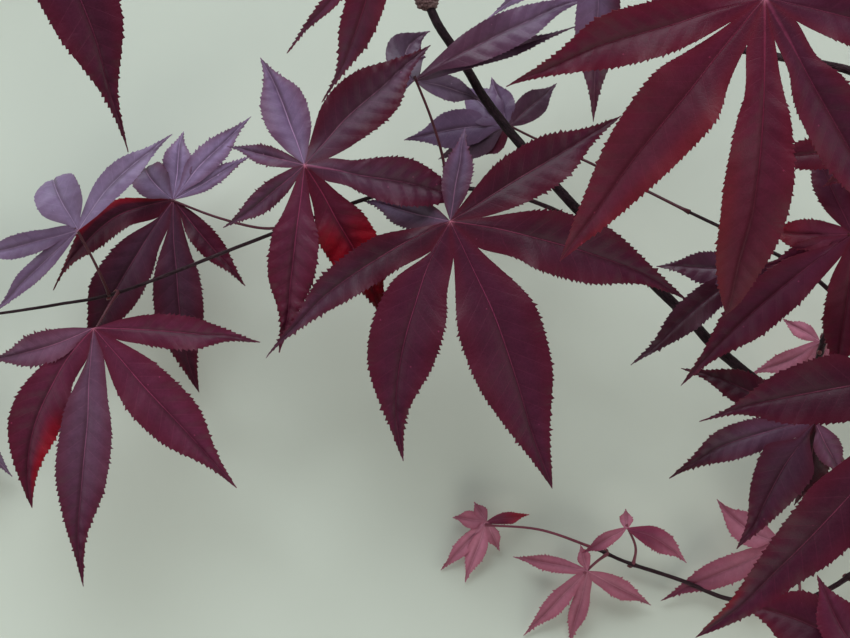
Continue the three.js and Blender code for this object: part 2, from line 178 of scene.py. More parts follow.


# What all blades share, and what differs between their two sides: the underside is duller and paler, with wider ribs.
# groove says how strongly the painted shade beside the midrib shows, from foot to tip
blade = dict(coarse=170.0, fine=900.0, depth=0.55, groove=(0.2, 0.55, 0.15, 0.5), speckTone=0.55, cellTone=0.03,
             patches=(0.85, 1.05), patchLow=0.6, fade=(0.3, 0.75), roughSpan=0.25, cellHeight=0.14, bump=0.00009)
topSide = dict(gloss=1, midrib=1, ribWidth=0.0, duller=0, paler=0)
underside = dict(gloss=0.6, midrib=1.7, ribWidth=0.02, duller=0.15, paler=0.35)


def bladeMaterial(name, values, face):
    material, tree, shader = newMaterial(name, values["roughness"], values["gloss"] * face["gloss"])
    tint = readAttribute(tree, "leafTint", "Color")
    along = readAttribute(tree, "leafShare", "Fac")
    widths = {"Midrib Width": values["midrib"] * face["midrib"], "Rib Width": face["ribWidth"]}
    ribs = addNode(tree, "Group", {"Place": readAttribute(tree, "leafPlace"), **widths},
                   node_tree=leafRibs).outputs
    grain, shade = addGrain(tree, blade["coarse"], blade["fine"], blade["depth"])
    colour = mixColour(tree, 1.0, tint, shade, "MULTIPLY")
    pale = mixColour(tree, 1.0, mixColour(tree, 1.0, tint, values["ribGain"], "MULTIPLY"), values["ribBase"], "ADD")
    cellTone = reckon(tree, "MULTIPLY", reckon(tree, "SUBTRACT", 1.0, grain["Cells"]), blade["cellTone"])
    colour = mixColour(tree, cellTone, colour, pale)
    colour = mixColour(tree, reckon(tree, "MULTIPLY", ribs["Ribs"], values["ribTone"]), colour, pale)
    margin = reckon(tree, "MULTIPLY", ribs["Margin"], values["marginTone"])
    colour = mixColour(tree, margin, colour, values["marginColour"])
    # Painted shade on the top side only: the groove beside the midrib darkened as if in shadow, more strongly towards
    # the tip
    if face is topSide:
        groove = reckon(tree, "MULTIPLY", ribs["GrooveShade"], ramp(tree, along, *blade["groove"]))
        colour = mixColour(tree, groove, colour, values["grooveShadeColour"])
        colour = mixColour(tree, reckon(tree, "MULTIPLY", grain["Specks"], blade["speckTone"]), colour, pale)
    midribTone = values["midribTone"]
    patchy = ramp(tree, grain["Shade"], *blade["patches"], midribTone * blade["patchLow"], midribTone)
    patchy = reckon(tree, "MULTIPLY", patchy, ramp(tree, along, *blade["fade"], 1.0, values["midribFade"]))
    colour = mixColour(tree, reckon(tree, "MULTIPLY", ribs["Midrib"], patchy), colour, pale)
    if face is underside:
        colour = mixColour(tree, face["paler"], colour, pale)
    tree.links.new(colour, shader.inputs["Base Color"])
    rough = values["roughness"] - blade["roughSpan"] + face["duller"]
    rough = reckon(tree, "MULTIPLY_ADD", grain["Shade"], blade["roughSpan"], rough)
    tree.links.new(rough, shader.inputs["Roughness"])
    height = reckon(tree, "MULTIPLY_ADD", grain["Cells"], blade["cellHeight"], ribs["Relief"])
    addBump(tree, shader, height, blade["bump"])
    return material


def plainMaterial(name, colour, roughness, gloss, depth=0.6, coarse=300.0, fine=1400.0, bump=0.0002):
    material, tree, shader = newMaterial(name, roughness, gloss)
    grain, shade = addGrain(tree, coarse, fine, depth)
    tree.links.new(mixColour(tree, 1.0, colour, shade, "MULTIPLY"), shader.inputs["Base Color"])
    addBump(tree, shader, grain["Shade"], bump)
    return material


# Finish of the leaves of each kind; colours are linear. The groove colour is painted shade, the dark of the groove
# beside the midrib
finishes = {
    "burgundy": dict(gloss=0.20, roughness=0.46, midrib=0.11, ribTone=0.18, midribTone=0.9, marginTone=0.45,
                     midribFade=0.3, ribGain=(2.5, 2.6, 2.4, 1), ribBase=(0.10, 0.018, 0.035, 1),
                     marginColour=(0.092, 0.0025, 0.012, 1), grooveShadeColour=(0.03, 0.002, 0.008, 1),
                     stalkColour=(0.075, 0.010, 0.020, 1)),
    "crimson": dict(gloss=0.19, roughness=0.48, midrib=0.11, ribTone=0.15, midribTone=0.7, marginTone=0.4,
                    midribFade=0.4, ribGain=(2.0, 2.2, 2.0, 1), ribBase=(0.08, 0.012, 0.022, 1),
                    marginColour=(0.125, 0.004, 0.012, 1), grooveShadeColour=(0.05, 0.002, 0.008, 1),
                    stalkColour=(0.09, 0.008, 0.014, 1)),
    "violet": dict(gloss=0.32, roughness=0.44, midrib=0.12, ribTone=0.22, midribTone=0.7, marginTone=0.2,
                   midribFade=0.7, ribGain=(2.1, 2.3, 2.0, 1), ribBase=(0.06, 0.015, 0.03, 1),
                   marginColour=(0.11, 0.03, 0.06, 1), grooveShadeColour=(0.05, 0.012, 0.03, 1),
                   stalkColour=(0.065, 0.009, 0.016, 1)),
    "pink": dict(gloss=0.22, roughness=0.55, midrib=0.1, ribTone=0.2, midribTone=0.6, marginTone=0.3,
                 midribFade=0.6, ribGain=(1.5, 1.9, 1.7, 1), ribBase=(0.05, 0.03, 0.04, 1),
                 marginColour=(0.26, 0.03, 0.06, 1), grooveShadeColour=(0.16, 0.02, 0.04, 1),
                 stalkColour=(0.17, 0.035, 0.055, 1)),
}
leafMaterials = {
    kind: [
        bladeMaterial(kind + "LeafTop", values, topSide),
        bladeMaterial(kind + "LeafUnderside", values, underside),
        plainMaterial(kind + "LeafEdge", values["marginColour"], roughness=0.55, gloss=0.2),
        plainMaterial(kind + "Stalk", values["stalkColour"], roughness=0.45, gloss=0.3),
    ]
    for kind, values in finishes.items()
}
print("leaf materials ready")

# Patterns of the bark: the texture, how it is drawn out along the limb, its own sockets, and where it fades in
barkPatterns = {
    "streaks": dict(kind="TexNoise", drawn=(2.2, 2.2, 0.35), sockets={"Scale": 2.0, "Detail": 4.0}, fade=(0.35, 0.68)),
    "patches": dict(kind="TexNoise", drawn=(0.6, 0.6, 0.25), sockets={"Scale": 1.3, "Detail": 2.0}, fade=(0.48, 0.7)),
    "specks": dict(kind="TexVoronoi", drawn=(1.4, 1.4, 0.7), sockets={"Scale": 1.6}, fade=(0.1, 0.2)),
}
barkRelief = dict(roughSpan=0.3, speckHeight=0.7, speckTone=0.65, bump=0.00025)
barks = {
    "stem": dict(roughness=0.6, gloss=0.14, dark=(0.0075, 0.0028, 0.0045, 1), light=(0.026, 0.0105, 0.0145, 1),
                 bloom=(0.05, 0.026, 0.034, 1), bloomTone=0.35, speck=(0.085, 0.05, 0.046, 1)),
    "twig": dict(roughness=0.55, gloss=0.12, dark=(0.014, 0.005, 0.007, 1), light=(0.048, 0.021, 0.027, 1),
                 bloom=(0.085, 0.052, 0.06, 1), bloomTone=0.42, speck=(0.10, 0.05, 0.048, 1)),
    "knob": dict(roughness=0.75, gloss=0.2, dark=(0.06, 0.03, 0.028, 1), light=(0.21, 0.115, 0.11, 1),
                 bloom=(0.30, 0.20, 0.19, 1), bloomTone=0.7, speck=(0.06, 0.03, 0.03, 1)),
}


def barkMaterial(name, values):
    material, tree, shader = newMaterial(name, values["roughness"], values["gloss"])
    place = readAttribute(tree, "barkPlace")
    seen = {}
    for label, pattern in barkPatterns.items():
        drawn = addNode(tree, "Mapping", {"Vector": place, "Scale": pattern["drawn"]}).outputs[0]
        seen[label] = addNode(tree, pattern["kind"], {"Vector": drawn, **pattern["sockets"]}).outputs[0]
    streaks, patches, specks = seen.values()
    speckMask = ramp(tree, specks, *barkPatterns["specks"]["fade"], 1.0, 0.0)
    bloom = ramp(tree, patches, *barkPatterns["patches"]["fade"], 0.0, values["bloomTone"])
    colour = mixColour(tree, ramp(tree, streaks, *barkPatterns["streaks"]["fade"]), values["dark"], values["light"])
    colour = mixColour(tree, bloom, colour, values["bloom"])
    colour = mixColour(tree, reckon(tree, "MULTIPLY", speckMask, barkRelief["speckTone"]), colour, values["speck"])
    tree.links.new(colour, shader.inputs["Base Color"])
    smoothest = values["roughness"] - barkRelief["roughSpan"] / 2
    rough = reckon(tree, "MULTIPLY_ADD", streaks, barkRelief["roughSpan"], smoothest)
    tree.links.new(rough, shader.inputs["Roughness"])
    height = reckon(tree, "MULTIPLY_ADD", speckMask, barkRelief["speckHeight"], streaks)
    addBump(tree, shader, height, barkRelief["bump"])
    return material


barkMaterials = {kind: barkMaterial(kind + "Bark", values) for kind, values in barks.items()}
cutWood = plainMaterial("cutWood", (0.42, 0.33, 0.20, 1), roughness=0.8, gloss=0.2, depth=0.5,
                        coarse=900.0, fine=2600.0)
budScale = plainMaterial("budScale", (0.11, 0.013, 0.02, 1), roughness=0.4, gloss=0.35)
print("bark materials ready")

# How finely a way is followed between two of its points, and how near points are joined, in metres
waySteps = 16
joinedWithin = dict(tube=1e-6, leaf=2e-6)


# A smooth line through the points that a limb or stalk takes, in even steps, and its length
def evenWay(points, steps):
    points = [Vector(point) for point in points]
    points = [2 * points[0] - points[1], *points, 2 * points[-1] - points[-2]]
    fine = []
    for before, start, end, after in zip(points, points[1:], points[2:], points[3:]):
        first, middle, last = ((b - a).length ** 0.5 for a, b in ((before, start), (start, end), (end, after)))
        leave = ((start - before) / first - (end - before) / (first + middle) + (end - start) / middle) * middle
        arrive = ((end - start) / middle - (after - start) / (middle + last) + (after - end) / last) * middle
        fine += interpolate_bezier(start, start + leave / 3, end - arrive / 3, end, waySteps + 1)[:-1]
    fine.append(points[-2])
    reached = [0]
    for a, b in zip(fine, fine[1:]):
        reached.append(reached[-1] + (b - a).length)
    even, spot = [], 0
    for step in range(steps + 1):
        goal = reached[-1] * step / steps
        while spot < len(fine) - 2 and reached[spot + 1] < goal:
            spot += 1
        even.append(fine[spot].lerp(fine[spot + 1], (goal - reached[spot]) / (reached[spot + 1] - reached[spot])))
    return even, reached[-1]


# A round tube along a way: a grid that is wrapped round it and closed at the seam and the ends
def wrapTube(bm, way, steps, sides, radiusAt, material):
    points, length = evenWay(way, steps)
    rings = []
    normal = (points[1] - points[0]).orthogonal().normalized()
    for step, point in enumerate(points):
        ahead = (points[min(step + 1, steps)] - points[max(step - 1, 0)]).normalized()
        normal = (normal - ahead * normal.dot(ahead)).normalized()
        rings.append((point, normal, ahead.cross(normal)))
    barkPlace = bm.verts.layers.float_vector["barkPlace"]
    grid = bmesh.ops.create_grid(bm, x_segments=steps, y_segments=sides, size=0.5)["verts"]
    for vert in grid:
        step = round((vert.co.x + 0.5) * steps)
        turn = (0.5 - vert.co.y) * math.tau
        point, normal, other = rings[step]
        radius = radiusAt(step / steps, turn, length)
        vert[barkPlace] = towards(turn, 1, length * step / steps)
        vert.co = metres(point + (normal * math.cos(turn) + other * math.sin(turn)) * radius)
    skin = {face for vert in grid for face in vert.link_faces}
    bmesh.ops.remove_doubles(bm, verts=grid, dist=joinedWithin["tube"])
    openEdges = [edge for edge in bm.edges if edge.is_boundary]
    skin.update(bmesh.ops.holes_fill(bm, edges=openEdges, sides=0)["faces"])
    bmesh.ops.recalc_face_normals(bm, faces=list(skin))
    for face in skin:
        face.material_index = material


def newMesh():
    bm = bmesh.new()
    for name in ("barkPlace", "leafPlace", "leafTint"):
        bm.verts.layers.float_vector.new(name)
    bm.verts.layers.float.new("leafShare")
    return bm


def newPiece(name, bm, materials, node):
    for face in bm.faces:
        face.smooth = True
    for edge in bm.edges:
        if len({face.material_index for face in edge.link_faces}) > 1:
            edge.smooth = False
    mesh = bpy.data.meshes.new(name)
    bm.to_mesh(mesh)
    bm.free()
    piece = bpy.data.objects.new(name, mesh)
    bpy.context.scene.collection.objects.link(piece)
    for material in materials:
        mesh.materials.append(material)
    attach(piece, "root")
    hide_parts(node)


# Limbs: the radius at the start and at the end, and the way each one takes from the limb that carries it
limbs = {
    "main_stem": dict(radii=(1.6, 1.25), steps=300, sides=18, way=[
        (168, -83, -0.3), (163, -79, 0.6), (135, -57, 12), (120, -44, 19), (103, -26.5, 26), (85, -12, 30),
        (79, -7, 31), (73, -0.5, 32), (49, 22.5, 34), (37, 35, 33.5), (22, 53, 32.5), (16, 61, 32.5), (10, 71, 33),
        (3.3, 81, 34), (0.7, 87, 34)]),
    "left_twig": dict(radii=(0.64, 0.38), steps=240, sides=12, way=[
        (49, 22.5, 34), (41, 27, 35.5), (32, 31, 37), (25.5, 33, 39), (6.5, 35.5, 42), (-11, 33.7, 42),
        (-25.5, 29, 41), (-50, 19.7, 40), (-85, 6.8, 36), (-101, 4, 31), (-118, 1.6, 25), (-142, -1, 15)]),
    "right_twig": dict(radii=(0.9, 0.5), steps=130, sides=12, way=[
        (97, -21.5, 27.5), (106, -14, 33), (108, -6, 39), (110, 6, 46), (117, 22, 53), (122, 41, 59), (129, 59, 65)]),
    "right_side_twig": dict(radii=(0.6, 0.45), steps=60, sides=12, way=[
        (110, 6, 46), (102, 13, 44), (91.5, 19, 42), (72, 29, 37)]),
    "upper_side_twig": dict(radii=(1.2, 0.95), steps=100, sides=14, way=[
        (126.5, 52, 62.5), (119, 59, 62.5), (109.6, 64.2, 63), (94.1, 67.1, 63.5), (82.5, 69.4, 63), (76.5, 71, 62)]),
    "top_left_shoot": dict(radii=(0.9, 0.5), steps=160, sides=12, way=[
        (0.7, 87, 34), (-7, 98, 48), (-23, 112, 58), (-50, 125, 56), (-82, 139, 46.5), (-107, 146, 34)]),
    "top_right_shoot": dict(radii=(0.9, 0.5), steps=190, sides=12, way=[
        (0.7, 87, 34), (12, 100, 44), (35, 110, 56), (65, 112, 70), (87, 103, 78), (112, 108, 64), (128, 112, 46)]),
    "lower_shoot": dict(radii=(0.9, 0.5), steps=130, sides=12, way=[
        (135, -57, 12), (125, -71, 9), (108, -81, 7), (89, -81, 6), (73, -75, 6), (58, -70, 6.5), (49, -66, 7)]),
}

# Leaves, in millimetres: the stalk's way from its limb, the seat where the lobes meet, and each lobe's heading in
# degrees, reach, greatest width, height of the tip above the seat, tone or tones of foot and tip, sideways bend, and
# bulge upwards. Lobes go clockwise from above, starting beside the stalk. fold is how steeply their halves rise, quilt
# how much these swell between side ribs, teeth how deep the margin is cut. Of single lobes, shape holds how far out the
# belly is and how much tip and foot are drawn in, bow how far they roll down, and the margin tints say which margins
# (-1 is right, 1 is left) are tinted, from where to where along the lobe, and from how far out on the way from the
# midrib. These tints are partly painted light: scarlet ones are painted backlight, the glow of light shining through a
# blade, and some darker ones are painted shade, as noted at each leaf. A fan has even lobes: heading, reach and drop of
# the middle one, tones, and how many
# Tones are linear colours. violet and mauve are partly the leaves' own purple and partly painted sheen, the pale
# reflection of a bright sky on blades that tilt towards it
tones = {
    "umber": (0.034, 0.012, 0.012), "cherry": (0.032, 0.0035, 0.009), "mulberry": (0.044, 0.0045, 0.015),
    "maroon": (0.056, 0.0062, 0.021), "garnet": (0.072, 0.0045, 0.018), "wine": (0.100, 0.014, 0.038),
    "plum": (0.074, 0.023, 0.046), "grape": (0.105, 0.043, 0.078), "slate": (0.078, 0.040, 0.070),
    "dusk": (0.105, 0.060, 0.092), "violet": (0.153, 0.092, 0.168), "mauve": (0.238, 0.162, 0.278),
    "ruby": (0.100, 0.0115, 0.027), "crimson": (0.170, 0.0018, 0.0065), "scarlet": (0.310, 0.0004, 0.006),
    "rose": (0.350, 0.112, 0.160), "blush": (0.450, 0.160, 0.225), "russet": (0.125, 0.010, 0.018),
    "claret": (0.145, 0.022, 0.052), "heather": (0.165, 0.064, 0.112),
}
leaves = {
    "leaf_centre": dict(
        kind="burgundy", stalk=[(7.6, 35.5, 42), (7, 31.5, 49)], seat=(6.6, 25.6, 56), fold=0.27, teeth=1.35,
        lobes=[(81, 25.5, 7.6, -5, "slate violet", 0, 1.5), (32, 54, 13.5, -9, "mulberry maroon", 0, 1),
            (-18, 66.5, 16.5, -8, "mulberry maroon", 3.4, 2), (-69, 75.5, 21.6, -6, "maroon", 1.8, 2),
            (-101, 64.5, 18.5, -5, "maroon", -5.7, 2), (-143.5, 60.5, 10.5, -5, "mulberry plum", -4, 1),
            (-195, 24, 8.5, -15, "slate violet", 0, -2)],
        shape={2: (0.93, 0.55, 0.25), 3: (0.85, 0.3, 0.3), 4: (0.93, 0.55, 0.2), 5: (0.72, 0.6, 0)}),
    "leaf_upper_left": dict(
        kind="burgundy", stalk=[(-23.5, 28.8, 41), (-27.5, 35, 48)], seat=(-31.7, 40.5, 54), fold=0.3, quilt=1.0,
        lobes=[(113, 32.5, 12.2, -12, "violet", -0.8, 1), (45, 47, 15.5, -12, "plum grape", 1.1, 1),
            (-12, 42.5, 12.5, -3, "plum maroon", 0.8, 1), (-63, 47, 14.3, -10, "garnet crimson", 1.4),
            (-98, 50, 12.8, -5, "wine garnet", 0.4, 1), (-144, 27.5, 6.2, -8, "plum grape", 0.6),
            (-195, 22, 5, -8, "grape violet")],
        shape={2: (1.4, 0.1, 0), 3: (0.93, 0.45, 0.5), 4: (0.93, 0.55, 0.5)},
        # On the lobe heading -63 the scarlet is painted backlight, light shining through it; the mulberry over the
        # upper half of the lobe heading 45 is painted shade of its fold
        tintsAndPaintedLight=[(3, -1, 0.38, 0.8, -0.3, "scarlet"), (3, 1, 0.42, 0.8, -0.3, "scarlet"),
            (1, -1, 0.3, 0.8, 0.35, "garnet"), (1, 1, 0.15, 1.2, -0.6, "mulberry")]),
    "leaf_left": dict(
        kind="burgundy", stalk=[(-34, 25.8, 40), (-43.5, 24.8, 33), (-57, 28, 26)], seat=(-70.4, 33.3, 22),
        fold=0.18, bow={4: 2.4, 5: 0.8},
        lobes=[(-50, 31.5, 6.8, 0, "maroon garnet", -0.2, 1), (-83, 54.5, 13.8, -6, "plum cherry", -2.2, 1),
            (-120, 52, 14, -6, "plum cherry", -1.8), (-144, 43, 8.6, -6, "mulberry cherry", -5.9, 1),
            (-234, 17, 10, 4, "mauve umber", 1.5), (-277, 20.5, 8, 0, "mauve"), (-313, 32, 7.4, 0, "mauve", 0.8, 1),
            (-331, 25.5, 4.4, 1, "mauve")],
        shape={1: (1.1, 0.4, 0.25), 2: (1.1, 0.4, 0.25), 3: (0.8, 0.75, 0)},
        # The scarlet on the lobe heading -144 is painted backlight, light shining through it
        tintsAndPaintedLight=[(3, -1, 0.15, 0.62, 0.5, "scarlet"), (3, -1, 0.8, 1.2, 0.1, "crimson"),
            (3, 1, 0.85, 1.2, 0.1, "crimson")]),
    "leaf_far_left": dict(
        kind="violet", stalk=[(-86, 6.6, 35.8), (-88.5, 15, 44.5)], seat=(-91.9, 23.5, 50), quilt=0.7, teeth=0.5,
        bow={2: 2.3},
        lobes=[(-138, 34, 5.2, -10, "violet", -0.5), (-168, 33, 6.2, -8, "violet mauve", 0.5),
            (-240, 22.5, 12.6, -3, "mauve", 0, 1), (-312, 35.5, 7.4, -9, "mauve", 2.2)]),
    "leaf_lower_left": dict(
        kind="burgundy", stalk=[(-83.5, 7.3, 36.2), (-85, 3.6, 42)], seat=(-88.6, -2.4, 46), fold=0.22, quilt=0.6,
        teeth=1.1, bow={4: 0.7},
        lobes=[(-5, 44.5, 9, -4, "wine", 0.8, 1), (-49, 57.5, 14.8, -7, "wine", 0, 2),
            (-93, 70, 14.2, -6, "grape maroon", -0.9, 2), (-110, 52, 14, -8, "wine garnet", -6.6),
            (-164, 32, 8.6, -6, "heather grape", 1.3)],
        shape={2: (0.93, 0.55, 0.25), 3: (1.1, 0.4, 0.2)},
        # The scarlet on the lobe heading -110 is painted backlight, light shining through it
        tintsAndPaintedLight=[(3, 1, 0.5, 0.9, 0.2, "scarlet")]),
    "leaf_upper_middle": dict(
        kind="violet", stalk=[(5, 35.6, 42), (5.2, 41, 42.5), (2, 53, 42.5)], seat=(-2.9, 64.2, 42), quilt=0.7,
        teeth=0.6,
        lobes=[(-172, 18, 7, -9, "violet mauve"), (-287, 14.6, 11, -4, "slate", 4.5, -2),
            (-335, 55, 10, -2, "plum violet", 1.6, 1), (-341, 46.5, 5, -4, "slate", 0.4),
            (-372, 19.5, 6.8, -14, "violet", 0.8)]),
    # Its pale tones are partly painted light, made lighter to make up for the shade the stems and leaves above cast on
    # it
    "leaf_behind_stem": dict(
        kind="violet", stalk=[(72, 29, 37), (46, 43, 28), (30.5, 50.5, 23)], seat=(23.3, 53.8, 22), fold=0.1,
        teeth=0.6,
        lobes=[(-136, 12, 6.6, -5, "ruby wine"), (-156, 21.5, 8.5, -6, "dusk"),
            (-173.5, 29.5, 10.5, -5, "violet", -1.2), (-221, 18.5, 10, -4, "violet mauve"),
            (-252, 15, 8, -3, "violet"), (-318, 18.5, 7.6, -2, "plum dusk")]),
    "leaf_front": dict(
        kind="crimson", stalk=[(87, 103, 78), (83, 89, 101)], seat=(79.2, 74.8, 112), fold=0.34, quilt=0.5,
        bow={3: 0.9},
        lobes=[(36, 44, 11, -14, "maroon", 0, 3), (-12, 60, 14, -12, "maroon", 0, 3),
            (-60, 65, 15, -10, "maroon", 0, 3), (-94, 79, 16, -8, "garnet ruby", 1.6, 3),
            (-127.5, 77, 18.2, -14, "garnet ruby", -1, 3), (-162, 63, 13, -12, "garnet", -1.4, 3),
            (-205, 40, 10, -14, "plum", 0, 3)],
        shape={2: (1.2, 0.2, 0.6), 3: (1.25, 0.05, 0.3), 4: (0.8, 0.05, 0.6)},
        tintsAndPaintedLight=[(4, 1, 0.3, 0.95, 0.35, "russet"), (3, -1, 0.5, 0.9, 0.35, "russet")]),
    "leaf_top_middle": dict(
        kind="violet", stalk=[(35.4, 109.7, 56.6), (40, 106, 64)], seat=(44.6, 99.1, 70), fold=0.15, teeth=0.6,
        lobes=[(58, 11, 4, 0, "violet"), (12, 30, 8, -10, "violet"), (-38, 34, 9.5, -12, "grape"),
            (-90, 47, 11.5, -20, "violet garnet", 0, 2), (-144, 35, 6, -14, "mauve"), (-182, 26, 7, -10, "dusk")],
        tintsAndPaintedLight=[(3, 1, 0, 1.2, 0.05, "maroon")]),
    "leaf_right": dict(
        kind="crimson", stalk=[(117, 22, 53), (113.5, 22.5, 61)], seat=(109.9, 21.8, 66), fold=0.25,
        lobes=[(-30, 44, 12, -16, "ruby", 0, 3), (-93, 40, 11.5, -12, "ruby garnet", 0, 2),
            (-137, 58, 12.2, -15, "wine maroon", -2.1, 2), (-161, 24.5, 6.4, -8, "claret wine", 1),
            (-184, 23, 8, -8, "claret crimson", 0.8), (-247, 27, 9, -6, "wine plum", 0, 1),
            (-320, 28, 8, -10, "ruby")]),
    "leaf_right_upper": dict(
        kind="crimson", stalk=[(122, 41, 59), (119.5, 43.5, 69)], seat=(116.5, 42.5, 76),
        lobes=[(-35, 36, 10, -12, "ruby", 0, 2), (-95, 22, 8, -4, "umber plum", 0, 1), (-150, 18, 6, -4, "ruby"),
            (-178, 34.5, 8, -8, "ruby garnet", 0, 1), (-230, 30, 9, -8, "ruby"), (-300, 32, 9, -10, "ruby")]),
    "leaf_right_back": dict(
        kind="violet", stalk=[(97.5, 15.8, 43.1), (94.5, 15.5, 45.3)], seat=(90.9, 15.2, 46),
        lobes=[(-50, 13, 6, -2, "plum"), (-98, 20, 7, -4, "maroon wine"),
            (-142, 45, 8.2, -6, "mulberry cherry", -1.4, 1), (-178, 28.8, 8.8, -3, "plum maroon", 1.1),
            (-225, 12, 5, -2, "maroon plum")]),
    "leaf_right_dark": dict(
        kind="burgundy", stalk=[(108, -6, 39), (117.5, -8, 66)], seat=(119.3, -14.7, 82), fold=0.22,
        lobes=[(35, 36, 9, -14, "maroon", 0, 2), (-5, 44, 12, -14, "maroon", 0, 3),
            (-48, 42, 12, -10, "maroon", 0, 3), (-167, 51, 17, -12, "mulberry maroon", -1.5, 2),
            (-200, 13, 5, -4, "maroon")],
        shape={3: (0.6, 0.75, 0)}),
    "leaf_right_lower": dict(
        kind="burgundy", stalk=[(120, -44, 19), (112, -36, 38)], seat=(102.6, -27.1, 54), fold=0.25, quilt=0.7,
        lobes=[(-62, 17, 7, -3, "heather"), (-97, 23.5, 10, -14, "cherry", 1.5),
            (-119.5, 39.5, 14.6, -8, "plum maroon", -0.8, 2), (-157.3, 40.5, 9.2, -8, "grape cherry", -3, 1),
            (-202, 37, 9, -8, "mulberry cherry", -1.1, 1), (-255, 12, 5, -3, "wine")],
        shape={2: (0.6, 0.35, 0)}),
    "leaf_bottom_right": dict(
        kind="burgundy", stalk=[(127, -50.5, 15.5), (131, -40, 56)], seat=(113.5, -31.5, 90), fold=0.22,
        lobes=[(-52, 44, 12, -12, "maroon", 0, 3), (-92, 58, 15, -14, "maroon", 0, 3),
            (-132.6, 66.7, 17.5, -18, "mulberry maroon", 1.8, 3), (-300, 28, 8, -6, "wine"),
            (-335, 34, 9, -8, "maroon")],
        shape={2: (0.5, 0, 0)},
        tintsAndPaintedLight=[(2, -1, 0.74, 1.2, 0.3, "crimson")]),
    "leaf_corner": dict(
        kind="crimson", stalk=[(122, -74.5, 8.3), (127, -84, 30)], seat=(118, -91, 46),
        lobes=[(-55, 26, 8, -10, "ruby"), (-98, 34, 10, -12, "ruby", 0, 2), (-140, 42, 12, -12, "ruby", 0, 2),
            (-201, 36.4, 16.5, -10, "maroon garnet", -3, 2), (-240, 26, 11, -1, "wine", 1.7, 2)]),
    "leaf_top_left": dict(
        kind="burgundy", stalk=[(-82, 139, 47), (-90, 125, 92)], seat=(-96.5, 107.8, 118),
        lobes=[(20, 40, 11, -14, "maroon wine", 0, 3), (-30, 54, 13, -14, "maroon wine", 0, 3),
            (-69, 73.4, 17.8, -14, "maroon mulberry", 3.4, 3), (-115, 62, 16, -14, "maroon wine", 0, 3),
            (-155, 48, 12, -14, "maroon wine", 0, 3), (-195, 30, 8, -12, "maroon wine")],
        shape={2: (0.8, 0.75, 0)}),
    "leaf_top_hanging": dict(
        kind="crimson", stalk=[(-23, 112, 58), (-15, 103.5, 80)], seat=(-8, 95.2, 92),
        lobes=[(35, 22, 6, -8, "ruby"), (-20, 26, 8, -10, "ruby"), (-62, 15, 5, -6, "ruby crimson"),
            (-113.5, 44.8, 9.5, -14, "garnet plum", 1.2, 2), (-132, 39.4, 3.6, -10, "wine plum"),
            (-172, 28, 8, -10, "ruby", 0, 1)],
        shape={3: (0.75, 0.75, 0)}),
    "small_leaf_left": dict(
        kind="pink", stalk=[(49.5, -66.2, 7), (33, -60.5, 8)], seat=(17.7, -58.1, 8), fold=0.15,
        lobes=[(8, 12.5, 3.4, -2, "claret scarlet"), (-67, 10, 3.8, -5, "blush rose"),
            (-108, 19.5, 5.2, -7, "blush"), (-131, 20, 4.4, -7.5, "blush rose"), (-184, 9.8, 5, -4, "rose"),
            (-237, 6.5, 3.6, -2, "rose")]),
    "small_leaf_middle": dict(
        kind="pink", stalk=[(52.5, -67.5, 6.8), (49, -69.5, 10)], seat=(46.3, -71.8, 12), fold=0.15,
        lobes=[(-30, 22, 5.6, -8, "rose"), (-100, 24, 5, -11.5, "rose"), (-131, 27, 5.3, -11.5, "rose"),
            (-189, 21.3, 4.5, -6, "rose"), (-255, 7.7, 3.6, -1, "rose")]),
    "small_leaf_upper": dict(
        kind="pink", stalk=[(60, -70.6, 6.3), (60, -65, 12)], seat=(56.9, -59.3, 17), fold=0.15,
        lobes=[(-150, 14.3, 4, -3, "rose wine"), (-270, 5.5, 3.6, -2, "blush rose"),
            (-390, 20.2, 6.3, -4, "claret rose", 1.7)]),
    "small_leaf_right": dict(
        kind="pink", stalk=[(108, -81, 7), (106, -72, 12)], seat=(101.8, -63.9, 14), fold=0.15,
        lobes=[(-112, 24, 7, -10, "rose"), (-152, 38, 8, -12, "rose wine"),
            (-214, 22.2, 8.6, -4, "blush rose", 2.2)]),
    "small_leaf_high": dict(
        kind="pink", stalk=[(107.6, -9, 37), (112.5, -6, 28)], seat=(111.1, -6.4, 20), fold=0.15,
        lobes=[(13, 15, 5.2, -5, "blush rose"), (-60, 20, 6, -7, "rose blush"), (-110, 18, 6, -7, "blush rose"),
            (-154, 21.5, 5.4, -6, "blush", 1), (-213, 12, 4.6, -4, "blush")]),
    "leaf_left_end": dict(
        kind="burgundy", stalk=[(-141.5, -1, 15.2), (-149, 1.5, 21)], seat=(-158, 6, 25),
        fan=(130, 50, 24.5, "wine plum", 7)),
    "leaf_left_end_lower": dict(
        kind="violet", stalk=[(-139, -0.8, 16.5), (-137, -14, 18)], seat=(-132, -28, 16),
        fan=(-140, 40, 15.5, "grape violet", 5)),
    "leaf_top_left_end": dict(
        kind="burgundy", stalk=[(-106.5, 146, 34.3), (-113, 147.5, 33)], seat=(-122, 148, 30),
        fan=(172, 54, 29.5, "maroon wine", 5)),
    "leaf_top_right_end": dict(
        kind="burgundy", stalk=[(127.5, 112, 46.5), (133, 113.5, 42)], seat=(140, 114, 36),
        fan=(25, 46, 35.5, "wine", 5)),
    "leaf_right_end": dict(
        kind="crimson", stalk=[(128.8, 58.8, 64.9), (133, 63, 64)], seat=(139, 66, 60),
        fan=(15, 48, 28, "ruby garnet", 5)),
}

